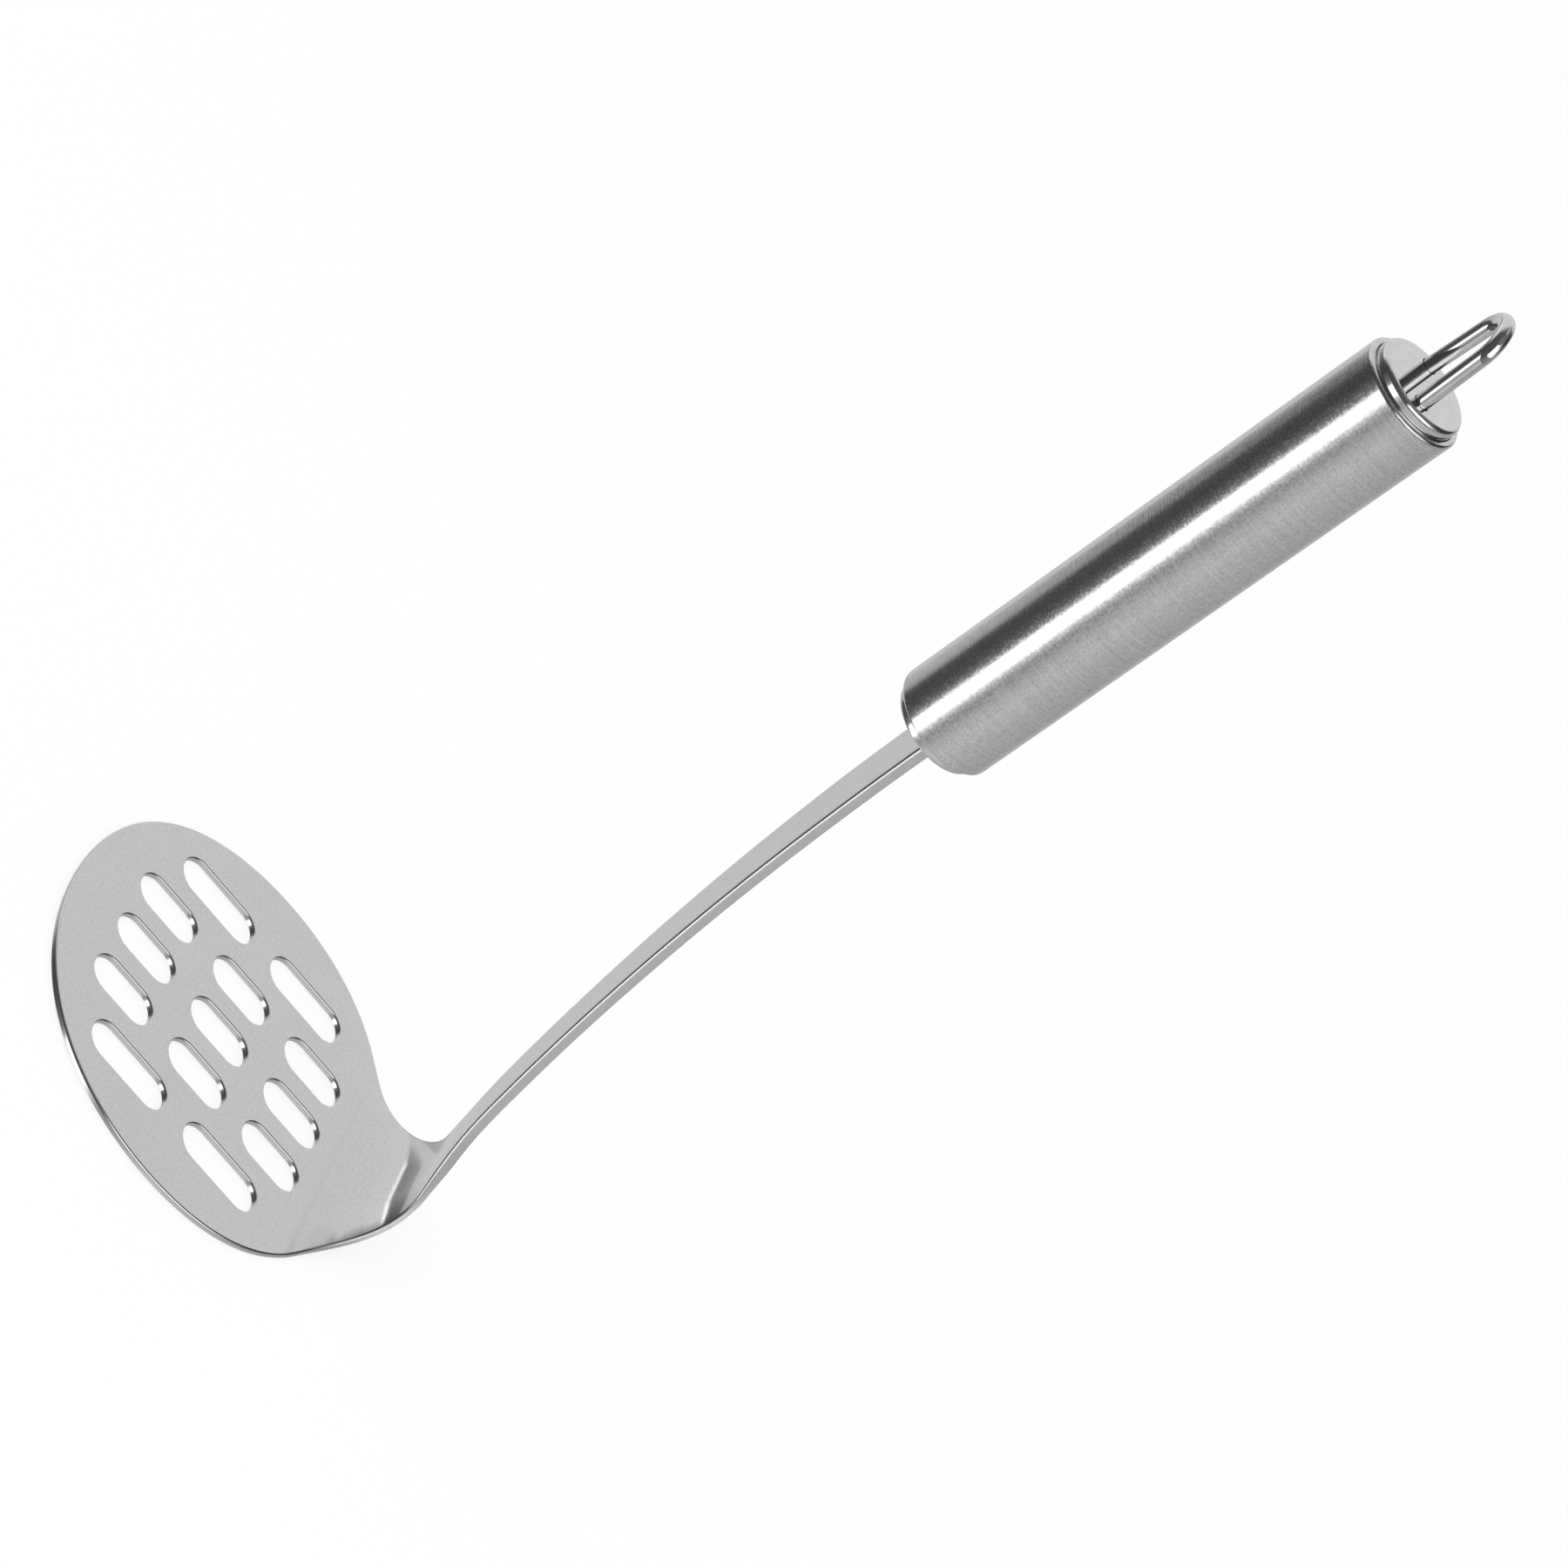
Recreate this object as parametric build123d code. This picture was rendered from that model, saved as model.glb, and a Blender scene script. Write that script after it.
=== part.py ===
from build123d import *
import math
import os

# Potato masher, in millimetres and degrees. It stands on the underside of its
# mashing plate at Z = 0. The origin is the centre of the slot pattern, the neck
# is on the +X side, and the handle rises and leans back over the plate.
# Angles in the XZ plane are headings: 0 points along +X and 90 straight up.

# Mashing plate. Its outline is a circle, a little narrow from end to end,
# a little square, and fuller at the shoulders beside the neck.
plate_radius = 44.8
plate_narrowing = 1.1
plate_shoulder = 0.22
plate_squareness = 0.72
plate_lead = 0.83
plate_thickness = 1.3

# Slots: three rows of three short ones, and two long ones on each side, spaced
# by shares of the plate's radius
slot_width = 8.4
short_slot_length = 16.0
long_slot_length = 20.7
slot_pitch_share = 0.491
row_pitch_share = 0.3103
long_slot_pitch_share = 0.598
slot_bevel = 0.3

# Neck and shank, seen from the side: a bend and two gentle sweeps, measured on
# the face that looks at the handle's side. The bend starts at a share of the
# plate's radius
bend_start_share = 0.743
bend_radius = 12.8
lower_sweep_radius = 201.0
lower_sweep_turn = 7.18
upper_sweep_radius = 836.0
upper_sweep_turn = 8.54
handle_lean = 6.4
shank_thickness = 2.3

# The sheet thickens from plate to shank between these shares of the bend's length
thickening_start_share = 0.8
thickening_end_share = 1.35

# Neck and shank, seen flat: a fillet from the plate to the waist, a straight
# waist, then a taper that widens to the shank's full width
neck_fillet_radius = 48.0
waist_width = 11.8
waist_length = 29.0
taper_length = 78.0
shank_width = 13.8
tang_length = 14.0
tang_corner_round = 2.5

# Broken edges of the blade, on its upper face and on its underside
face_bevel = 0.35
under_bevel = 0.2

# Handle tube
tube_diameter = 22.2
tube_wall = 1.3
tube_length = 111.0
tube_end_bevel = 0.45
tube_mouth_bevel = 0.3

# End caps, one pressed cup in each end of the tube
cap_clearance = 0.05
cap_stand_out = 2.2
cap_depth = 10.0
cap_wall = 1.0
cap_bevel = 0.45
tang_clearance = 0.15
leg_clearance = 0.15

# Hanging loop
wire_diameter = 3.0
loop_pitch = 12.2
loop_lean = 4.0
loop_height = 19.3
loop_turn = 2.0
leg_reach = 3.0

# Welds inside the handle
tang_weld_size = 1.4
tang_weld_length = 10.0
leg_weld_size = 0.9
weld_gap = 0.06

# Bevels of the tube's ends stay within these shares of its wall
end_bevel_share = 0.65
mouth_bevel_share = 0.3

# One overrun for all cuts, the step in which the blank's slope is taken, and
# the spacing of the sections along the blade
cut_overrun = 1.0
slope_step = 0.05
section_spacing = 4.0
rim_steps = 24

slot_pitch = plate_radius * slot_pitch_share
row_pitch = plate_radius * row_pitch_share
long_slot_pitch = plate_radius * long_slot_pitch_share
bend_start_x = plate_radius * bend_start_share
bend_turn = 90 + handle_lean + lower_sweep_turn + upper_sweep_turn
bend_length = bend_radius * math.radians(bend_turn)
lower_sweep_length = lower_sweep_radius * math.radians(lower_sweep_turn)
upper_sweep_length = upper_sweep_radius * math.radians(upper_sweep_turn)
shank_end = bend_length + lower_sweep_length + upper_sweep_length
tube_radius = tube_diameter / 2
bore_radius = tube_radius - tube_wall
cap_radius = bore_radius - cap_clearance
wire_radius = wire_diameter / 2
leg_spread = loop_pitch / 2
handle_length = cap_stand_out + tube_length + cap_stand_out


# The flat outline of the blade


def halve(low, high, past):
    """Return the value between low and high from which the test past holds."""
    for _ in range(60):
        middle = (low + high) / 2
        if past(middle):
            high = middle
        else:
            low = middle
    return low


def rim_point(angle):
    """Return the point of the plate's outline at an angle from +X."""
    turn = math.radians(angle)
    radius = plate_radius - plate_narrowing * math.cos(2 * turn)
    radius -= plate_shoulder * math.cos(3 * turn)
    radius -= plate_squareness * math.cos(4 * turn)
    return Vector(plate_lead + radius * math.cos(turn), radius * math.sin(turn))


def rim_tangent(angle):
    """Return the outline's direction at an angle, anticlockwise."""
    return (rim_point(angle + 0.5) - rim_point(angle - 0.5)).normalized()


def rim_angle(x):
    """Return the angle at which the outline passes x on its neck side."""
    return halve(0, 90, lambda angle: rim_point(angle).X < x)


def fillet_centre(angle):
    """Return the centre of a neck fillet that touches the outline at an angle."""
    tangent = rim_tangent(angle)
    return rim_point(angle) + Vector(tangent.Y, -tangent.X) * neck_fillet_radius


fillet_y = waist_width / 2 + neck_fillet_radius
shoulder_angle = halve(0, 90, lambda angle: fillet_centre(angle).Y > fillet_y)
shoulder_x = rim_point(shoulder_angle).X
fillet_x = fillet_centre(shoulder_angle).X
taper_start_x = fillet_x + waist_length


def half_width(x):
    """Return half the flat blade's width at x, on the plate, neck or shank."""
    if x < shoulder_x:
        return rim_point(rim_angle(x)).Y
    if x < fillet_x:
        return fillet_y - math.sqrt(neck_fillet_radius**2 - (fillet_x - x) ** 2)
    widened_share = min(max((x - taper_start_x) / taper_length, 0), 1)
    return (waist_width + (shank_width - waist_width) * widened_share) / 2


# The face curve: the side of the blade that looks at the handle, in the XZ plane


def heading(angle):
    """Return the unit vector of a heading in the XZ plane."""
    return Vector(math.cos(math.radians(angle)), 0, math.sin(math.radians(angle)))


def along_arc(start, angle, radius, length, side):
    """Return the end and heading of an arc that turns left (1) or right (-1)."""
    turn = side * math.degrees(length / radius)
    left = heading(angle + 90) * radius * side
    left_after = heading(angle + turn + 90) * radius * side
    return start + left - left_after, angle + turn


def face_at(length):
    """Return the point and heading of the face curve at a length from the bend's start."""
    point, angle = Vector(bend_start_x, 0, plate_thickness), 0
    pieces = (
        (bend_radius, bend_length, 1),
        (lower_sweep_radius, lower_sweep_length, -1),
        (upper_sweep_radius, upper_sweep_length, -1),
    )
    for radius, piece_length, side in pieces:
        travel = min(length, piece_length)
        point, angle = along_arc(point, angle, radius, travel, side)
        length -= travel
    return point + heading(angle) * length, angle


def thickness_at(length):
    """Return the sheet's thickness, which grows from plate to shank at the end of the bend."""
    thickening_share = thickening_end_share - thickening_start_share
    passed_share = (length / bend_length - thickening_start_share) / thickening_share
    passed_share = min(max(passed_share, 0), 1)
    grown_share = passed_share**2 * (3 - 2 * passed_share)
    return plate_thickness + (shank_thickness - plate_thickness) * grown_share


def spread(start, end, spacing):
    """Return evenly spaced lengths from start up to, but without, end."""
    count = max(math.ceil((end - start) / spacing), 2)
    return [start + (end - start) * i / count for i in range(count)]


# The handle's own frame: origin on the front cap's outer face, Z along the handle
cap_point, cap_heading = face_at(shank_end)
handle_origin = cap_point + heading(cap_heading - 90) * (shank_thickness / 2)
handle_frame = Plane(handle_origin, x_dir=heading(handle_lean), z_dir=heading(cap_heading))


def in_place(piece):
    """Return a piece of the handle in the part's frame."""
    return handle_frame.location * piece


# The blade


def plate():
    """Return the flat part of the blade, up to the start of the bend."""
    points = [rim_point(360 * i / rim_steps) for i in range(rim_steps)]
    disc = extrude(make_face(Spline(*points, periodic=True)), plate_thickness)
    disc = chamfer(disc.edges().sort_by(Axis.Z)[-1], face_bevel)
    disc = chamfer(disc.edges().sort_by(Axis.Z)[0], under_bevel)
    bend_start = Plane((bend_start_x, 0, 0), z_dir=(-1, 0, 0))
    return split(disc, bisect_by=bend_start, keep=Keep.TOP)


def section(length):
    """Return the bent part's outline at a length from the bend's start, square to the face curve."""
    point, angle = face_at(length)
    thickness = thickness_at(length)
    x = bend_start_x + length
    side = half_width(x)
    slope = (half_width(x + slope_step) - half_width(x - slope_step)) / (2 * slope_step)
    wide = math.sqrt(1 + slope**2)
    top, low = side - face_bevel * wide, side - under_bevel * wide
    corners = ((top, 0), (side, -face_bevel), (side, under_bevel - thickness), (low, -thickness))
    mirrored = [(-y, z) for y, z in reversed(corners)]
    outline = Polyline(*corners, *mirrored, close=True)
    return Plane(point, x_dir=(0, 1, 0), z_dir=heading(angle)) * make_face(outline)


def neck_and_shank(plate_end):
    """Return the bent part of the blade, through sections that start with the plate's end face."""
    lengths = spread(0, bend_length, section_spacing / 2)
    lengths += spread(bend_length, bend_length + lower_sweep_length, section_spacing)
    lengths += spread(bend_length + lower_sweep_length, shank_end, 2 * section_spacing)
    lengths.append(shank_end)
    return loft([plate_end] + [section(length) for length in lengths[1:]])


def tang():
    """Return the shank's straight end inside the handle, in the handle's own frame."""
    outline = Rectangle(shank_thickness, shank_width)
    bar = extrude(outline, tang_length)
    corners = bar.edges().filter_by(Axis.X).group_by(Axis.Z)[-1]
    return fillet(corners, tang_corner_round)


def slot(x, y, length):
    """Return one slot cutter through the plate."""
    outline = Pos(x, y, -cut_overrun) * SlotOverall(length, slot_width)
    return extrude(outline, plate_thickness + 2 * cut_overrun)


def slots():
    """Return all slot cutters."""
    cutters = []
    for row in (-1, 0, 1):
        for column in (-1, 0, 1):
            cutters.append(slot(column * slot_pitch, row * row_pitch, short_slot_length))
    for row in (-2, 2):
        for column in (-0.5, 0.5):
            cutters.append(slot(column * long_slot_pitch, row * row_pitch, long_slot_length))
    return cutters


def mashing_blade():
    """Return the one-piece blade: plate, slots, neck, shank and tang."""
    flat = plate()
    plate_end = flat.faces().sort_by(Axis.X)[-1]
    bent = neck_and_shank(plate_end)
    flat -= slots()
    top_edges = flat.edges().group_by(Axis.Z)[-1]
    slot_edges = top_edges.filter_by(lambda edge: edge.length < long_slot_length)
    flat = chamfer(slot_edges, slot_bevel)
    return flat + bent + in_place(tang())


# The handle, in the handle's own frame


def handle_tube():
    """Return the tube, with both edges of its two ends broken."""
    middle = Pos((bore_radius + tube_radius) / 2, cap_stand_out + tube_length / 2)
    wall = middle * Rectangle(tube_wall, tube_length)
    outer = wall.vertices().group_by(Axis.X)[-1]
    wall = chamfer(outer, min(tube_end_bevel, tube_wall * end_bevel_share))
    mouths = wall.vertices().group_by(Axis.X)[0]
    wall = chamfer(mouths, min(tube_mouth_bevel, tube_wall * mouth_bevel_share))
    return revolve(Plane.XZ * wall, Axis.Z)


def pressed_cup():
    """Return a cap as pressed, its face at the bottom on Z = 0 and its mouth up."""
    inside = cap_radius - cap_wall
    outline = Polyline(
        (0, 0),
        (cap_radius, 0),
        (cap_radius, cap_depth),
        (inside, cap_depth),
        (inside, cap_wall),
        (0, cap_wall),
        close=True,
    )
    profile = make_face(outline)
    edge = profile.vertices().sort_by_distance((cap_radius, 0))[0]
    profile = chamfer(edge, cap_bevel)
    return revolve(Plane.XZ * profile, Axis.Z)


def front_cap():
    """Return the lower cap, with the slot that the tang passes through."""
    width = shank_width + 2 * tang_clearance
    thickness = shank_thickness + 2 * tang_clearance
    opening = Pos(0, 0, -cut_overrun) * Rectangle(thickness, width)
    return pressed_cup() - extrude(opening, cap_wall + 2 * cut_overrun)


def leg_places(depth):
    """Return the places of the loop's legs at a depth below the rear cap's face."""
    turned = Rot(0, 0, loop_turn)
    reach = leg_spread + depth * math.tan(math.radians(loop_lean))
    return [turned * Pos(0, side * reach) for side in (-1, 1)]


def rear_cap():
    """Return the upper cap, with the two holes for the loop's legs."""
    cap = Pos(0, 0, handle_length) * Rot(180, 0, 0) * pressed_cup()
    hole_bottom = handle_length - cap_wall - cut_overrun
    hole = Pos(0, 0, hole_bottom) * Circle(wire_radius + leg_clearance)
    drill = extrude(hole, cap_wall + 2 * cut_overrun)
    for place in leg_places(cap_wall / 2):
        cap -= place * drill
    return cap


def hanging_loop():
    """Return the wire loop: two legs that lean together and an arc over the top."""
    lean = math.radians(loop_lean)
    rise = loop_height - wire_radius
    bend = (leg_spread * math.cos(lean) - rise * math.sin(lean)) / (1 - math.sin(lean))
    centre = handle_length + rise - bend
    foot = Vector(-leg_spread, handle_length) - Vector(math.sin(lean), math.cos(lean)) * leg_reach
    top = Vector(-bend * math.cos(lean), centre + bend * math.sin(lean))
    arc = JernArc(top, (math.sin(lean), math.cos(lean)), bend, 2 * loop_lean - 180)
    path = Line(foot, top) + arc + Line((-top.X, top.Y), (-foot.X, foot.Y))
    path = Plane.YZ * path
    start = Plane((0, foot.X, foot.Y), z_dir=(0, math.sin(lean), math.cos(lean))) * Circle(wire_radius)
    return Rot(0, 0, loop_turn) * sweep(start, path)


def leg_weld():
    """Return one weld bead: a coned ring round a leg, on the rear cap's inner face."""
    top = handle_length - cap_wall - weld_gap
    inner = wire_radius + weld_gap
    bead = Polyline(
        (inner, top),
        (inner + leg_weld_size, top),
        (inner, top - leg_weld_size),
        close=True,
    )
    return revolve(Plane.XZ * make_face(bead), Axis.Z)


def loop_welds():
    """Return the two weld beads of the loop's legs, in the part's frame."""
    depth = cap_wall + leg_weld_size / 2
    return Compound(children=[in_place(place * leg_weld()) for place in leg_places(depth)])


def tang_weld():
    """Return the two weld beads of the tang, on the front cap's inner face, in the part's frame."""
    flat = shank_thickness / 2 + weld_gap
    low = cap_wall + weld_gap
    bead = Polyline(
        (flat, low),
        (flat + tang_weld_size, low),
        (flat, low + tang_weld_size),
        close=True,
    )
    prism = extrude(Plane.XZ * make_face(bead), tang_weld_length / 2, both=True)
    return Compound(children=[in_place(prism), in_place(mirror(prism, about=Plane.YZ))])


os.makedirs("parts", exist_ok=True)
export_step(mashing_blade(), "parts/mashing_blade.step")
export_step(in_place(handle_tube()), "parts/handle_tube.step")
export_step(in_place(front_cap()), "parts/front_cap.step")
export_step(in_place(rear_cap()), "parts/rear_cap.step")
export_step(in_place(hanging_loop()), "parts/hanging_loop.step")
export_step(tang_weld(), "parts/tang_weld.step")
export_step(loop_welds(), "parts/loop_welds.step")
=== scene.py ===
"""Potato masher: a slotted sheet blade on a tube handle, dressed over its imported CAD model.

Sizes in the classes are millimetres in the model's own frame: the origin is the
centre of the slot pattern on the plate's underside, +X is the neck's side and +Z
is up. `Skin.make` turns them into metres. The finishes and the studio are in metres.
"""

import logging
import math
from abc import ABC, abstractmethod
from collections.abc import Callable, Mapping, Sequence
from dataclasses import dataclass, field
from enum import Enum
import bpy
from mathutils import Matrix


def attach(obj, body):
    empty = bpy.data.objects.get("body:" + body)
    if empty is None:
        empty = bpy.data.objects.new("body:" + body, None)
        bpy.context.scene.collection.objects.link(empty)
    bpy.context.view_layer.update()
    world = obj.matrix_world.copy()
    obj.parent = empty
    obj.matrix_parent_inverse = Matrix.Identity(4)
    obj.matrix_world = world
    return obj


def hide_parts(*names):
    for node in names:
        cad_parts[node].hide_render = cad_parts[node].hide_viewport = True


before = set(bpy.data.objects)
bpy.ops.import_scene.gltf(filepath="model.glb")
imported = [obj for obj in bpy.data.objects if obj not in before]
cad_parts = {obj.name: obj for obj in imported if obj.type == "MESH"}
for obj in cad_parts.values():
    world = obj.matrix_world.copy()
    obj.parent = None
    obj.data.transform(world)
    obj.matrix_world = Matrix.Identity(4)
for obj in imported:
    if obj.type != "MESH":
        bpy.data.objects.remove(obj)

from types import MappingProxyType
from typing import Any, NamedTuple

import bpy
from mathutils import Matrix, Vector
from mathutils.geometry import tessellate_polygon

MILLIMETRE = 0.001
BODY = "root"
UP = Vector((0, 0, 1))
MIX_LOW, MIX_HIGH, MIX_COLOUR = 6, 7, 2  # a Mix node's two colours and its result
HALVINGS = 60
FILL_TURN = 7.0  # degrees
RIM_PROBE = 0.5  # degrees to either side of a place on the rim
SLOPE_PROBE = 0.05  # millimetres to either side of a place on the blank
EDGE_POWER = 4  # how sharply a sheet's edge is told from its faces
log = logging.getLogger("potato_masher")

Span = tuple[float, float]
Triple = tuple[float, float, float]
Colour = Triple
Values = Mapping[str | int, Any]
Material = bpy.types.Material
NOTHING: Values = MappingProxyType({})


# Shader graphs


class Socket:
    """A node's output that takes part in arithmetic, one Math node per operation."""

    def __init__(self, graph: "Graph", output: bpy.types.NodeSocket | None) -> None:
        """Wrap an output, which is None for a node that has none."""
        self.graph = graph
        self.output = output

    def __add__(self, other: "Operand") -> "Socket":
        """Return self + other."""
        return self.graph.maths("ADD", self, other)

    __radd__ = __add__

    def __mul__(self, other: "Operand") -> "Socket":
        """Return self * other."""
        return self.graph.maths("MULTIPLY", self, other)

    def __sub__(self, other: "Operand") -> "Socket":
        """Return self - other."""
        return self.graph.maths("SUBTRACT", self, other)

    def __rsub__(self, other: "Operand") -> "Socket":
        """Return other - self."""
        return self.graph.maths("SUBTRACT", other, self)

    def __truediv__(self, other: "Operand") -> "Socket":
        """Return self / other."""
        return self.graph.maths("DIVIDE", self, other)

    def ramp(self, low: float, high: float) -> "Socket":
        """Return 0 below low, 1 above high and a smooth rise between."""
        inputs = {"Value": self, "From Min": low, "From Max": high}
        return self.graph.add("MapRange", {"interpolation_type": "SMOOTHSTEP"}, inputs)


Operand = Socket | float


@dataclass(frozen=True)
class Pattern:
    """A noise: cells per metre (on all axes or on each), octaves and share of the finer ones."""

    scale: float | Triple
    detail: float = 2.0
    roughness: float = 0.5


class Graph:
    """One node tree, and the methods that add nodes to it."""

    def __init__(self, owner: Material | bpy.types.World) -> None:
        """Empty the node tree of a material or world and wrap it.

        Args:
            owner: The material or world.
        """
        owner.use_nodes = True
        self.tree = owner.node_tree
        self.tree.nodes.clear()

    def add(
        self, kind: str, settings: Values = NOTHING, inputs: Values = NOTHING, output: str | int = 0
    ) -> Socket:
        """Add one node.

        Args:
            kind: The node's type, without "ShaderNode".
            settings: Its properties.
            inputs: Values or sockets by input name or number.
            output: The name or number of the output to return.

        Returns:
            The chosen output.
        """
        node = self.tree.nodes.new("ShaderNode" + kind)
        for name, value in settings.items():
            setattr(node, name, value)
        for name, value in inputs.items():
            if isinstance(value, Socket):
                self.tree.links.new(value.output, node.inputs[name])
            else:
                node.inputs[name].default_value = value
        return Socket(self, node.outputs[output] if len(node.outputs) else None)

    def maths(self, operation: str, first: Operand, second: Operand) -> Socket:
        """Return one Math node's result on two values."""
        return self.add("Math", {"operation": operation}, {0: first, 1: second})

    def place(self) -> Socket:
        """Return the object coordinates, in metres."""
        return self.add("TexCoord", output="Object")

    def own(self, name: str) -> Socket:
        """Return a vector that the mesh carries for each of its points."""
        return self.add("Attribute", {"attribute_name": name}, output="Vector")

    def part(self, vector: Socket, axis: int) -> Socket:
        """Return a vector's part along one axis."""
        return self.add("SeparateXYZ", {}, {"Vector": vector}, axis)

    def stretched(self, vector: Socket, factors: Triple) -> Socket:
        """Return a vector times three factors."""
        return self.add("VectorMath", {"operation": "MULTIPLY"}, {0: vector, 1: factors})

    def noise(self, vector: Socket, pattern: Pattern) -> Socket:
        """Add a noise texture.

        Args:
            vector: Its coordinates.
            pattern: Its scale and detail.

        Returns:
            The noise, about 0.5 on average.
        """
        scale = pattern.scale
        if isinstance(scale, tuple):
            vector, scale = self.stretched(vector, scale), 1.0
        inputs = {"Vector": vector, "Scale": scale}
        inputs |= {"Detail": pattern.detail, "Roughness": pattern.roughness}
        return self.add("TexNoise", {}, inputs)

    def tint(self, amount: Socket, low: Socket | Colour, high: Socket | Colour) -> Socket:
        """Return the colour between two, by an amount from 0 to 1."""
        ends = [end if isinstance(end, Socket) else (*end, 1.0) for end in (low, high)]
        inputs = {"Factor": amount, MIX_LOW: ends[0], MIX_HIGH: ends[1]}
        return self.add("Mix", {"data_type": "RGBA"}, inputs, MIX_COLOUR)

    def bump(self, height: Socket, distance: float, below: Socket | None = None) -> Socket:
        """Return the normal that a relief of some metres' depth gives to the normal below it."""
        inputs = {"Height": height, "Distance": distance} | ({"Normal": below} if below else {})
        return self.add("Bump", {}, inputs)


def grey(value: float) -> tuple[float, float, float, float]:
    """Return an opaque grey."""
    return (value, value, value, 1.0)


def blended(layers: Sequence[Socket], shares: Sequence[float]) -> Socket:
    """Return the sum of some layers, each times its share."""
    first, *others = [layer * share for layer, share in zip(layers, shares)]
    return sum(others, first)


# Finishes


@dataclass(frozen=True, kw_only=True)
class MetalFinish(ABC):
    """A bare metal finish, whose tone varies between two colours."""

    name: str
    dark: Colour
    light: Colour
    tone_range: Span = (0.3, 0.7)
    roughness: float

    @abstractmethod
    def paint(self, graph: Graph) -> Values:
        """Add the pattern's nodes.

        Args:
            graph: The material's graph.

        Returns:
            The shader's inputs.
        """

    def tone(self, graph: Graph, amount: Socket) -> Socket:
        """Return the colour for an amount of light, about 0.5 on average."""
        return graph.tint(amount.ramp(*self.tone_range), self.dark, self.light)

    def make(self) -> Material:
        """Return the finish as a material."""
        material = bpy.data.materials.new(self.name)
        graph = Graph(material)
        shader = graph.add("BsdfPrincipled", {}, {"Metallic": 1.0, **self.paint(graph)})
        graph.add("OutputMaterial", {}, {"Surface": shader})
        return material


@dataclass(frozen=True)
class SatinSheet(MetalFinish):
    """Stainless sheet with a fine satin grain that runs slightly along the blank.

    `shank_start` says between which places along the blank its sheared edge turns rougher.
    """

    name: str = "satin_sheet"
    dark: Colour = (0.542, 0.541, 0.548)
    light: Colour = (0.640, 0.639, 0.646)
    sheared: Colour = (0.64, 0.641, 0.646)
    roughness: float = 0.13
    grain: Pattern = Pattern((1400.0, 2000.0, 2000.0), 2.0, 0.6)
    clouds: Pattern = Pattern(60.0, 3.0)
    bands: Pattern = Pattern((12.0, 620.0, 620.0))
    marks: Pattern = Pattern((1500.0, 160.0, 0.0), 3.0, 0.65)
    shares: Triple = (0.75, 0.17, 0.08)
    grain_haze: float = 0.04
    cloud_haze: float = 0.05
    grain_depth: float = 0.0000008
    shear_depth: float = 0.000002
    shank_start: Span = (0.032, 0.042)
    shank_edge_roughness: float = 0.38

    def paint(self, graph: Graph) -> Values:
        """Add the grain, the cloudiness and the sheared edges."""
        blank, rim = graph.own("blank"), graph.own("rim")
        grain, clouds, bands = (graph.noise(blank, p) for p in (self.grain, self.clouds, self.bands))
        marks = graph.noise(rim, self.marks)
        edge, along = graph.part(rim, 2), graph.part(blank, 0)
        face = self.tone(graph, blended((grain, clouds, bands), self.shares))
        cut = graph.tint(marks.ramp(*self.tone_range), self.sheared, self.light)
        rough = self.roughness + (clouds - 0.5) * self.cloud_haze + (grain - 0.5) * self.grain_haze
        rough = rough + edge * along.ramp(*self.shank_start) * self.shank_edge_roughness
        relief = graph.bump(grain * (1.0 - edge), self.grain_depth)
        relief = graph.bump(marks * edge, self.shear_depth, relief)
        return {"Base Color": graph.tint(edge, face, cut), "Roughness": rough, "Normal": relief}


@dataclass(frozen=True, kw_only=True)
class BrushedTube(MetalFinish):
    """Stainless tube with fine hairlines round its axis."""

    name: str = "brushed_tube"
    axis: Vector
    dark: Colour = (0.484, 0.481, 0.488)
    light: Colour = (0.714, 0.710, 0.718)
    tone_range: Span = (0.32, 0.68)
    roughness: float = 0.10
    lines: Span = (3600.0, 420.0)
    streaks: Span = (1500.0, 60.0)
    line_noise: Pattern = Pattern(1.0, 2.0, 0.55)
    line_skew: float = 0.37
    speckle: Pattern = Pattern(2000.0, 2.0, 0.6)
    speckle_range: Span = (0.35, 0.75)
    shares: Triple = (0.35, 0.55, 0.1)
    line_haze: float = 0.05
    speckle_haze: float = 0.14
    line_depth: float = 0.000012
    speckle_depth: float = 0.000011

    def paint(self, graph: Graph) -> Values:
        """Add hairlines that are long round the tube and fine along it, and a speckle."""
        place = graph.place()
        settings, inputs = {"operation": "DOT_PRODUCT"}, {0: place, 1: tuple(self.axis)}
        along = graph.add("VectorMath", settings, inputs, "Value")
        lines = self.layer(graph, place, along, self.lines)
        speckle = graph.noise(place, self.speckle)
        streaks = self.layer(graph, place, along, self.streaks)
        rough = self.roughness + (lines - 0.5) * self.line_haze
        rough = rough + speckle.ramp(*self.speckle_range) * self.speckle_haze
        relief = graph.bump(lines, self.line_depth)
        relief = graph.bump(speckle, self.speckle_depth, relief)
        colour = self.tone(graph, blended((lines, speckle, streaks), self.shares))
        return {"Base Color": colour, "Roughness": rough, "Normal": relief}

    def layer(self, graph: Graph, place: Socket, along: Socket, rates: Span) -> Socket:
        """Add one layer of lines.

        Args:
            graph: The material's graph.
            place: The object coordinates.
            along: The distance along the axis.
            rates: The lines per metre along the axis and the breaks per metre round it.

        Returns:
            The layer, about 0.5 on average.
        """
        fine, coarse = rates
        spread = graph.stretched(place, (coarse, coarse, coarse))
        inputs = {"X": along * fine, "Y": along * (self.line_skew * fine)}
        shift = graph.add("CombineXYZ", {}, inputs)
        vector = graph.add("VectorMath", {"operation": "ADD"}, {0: spread, 1: shift})
        return graph.noise(vector, self.line_noise)


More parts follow.
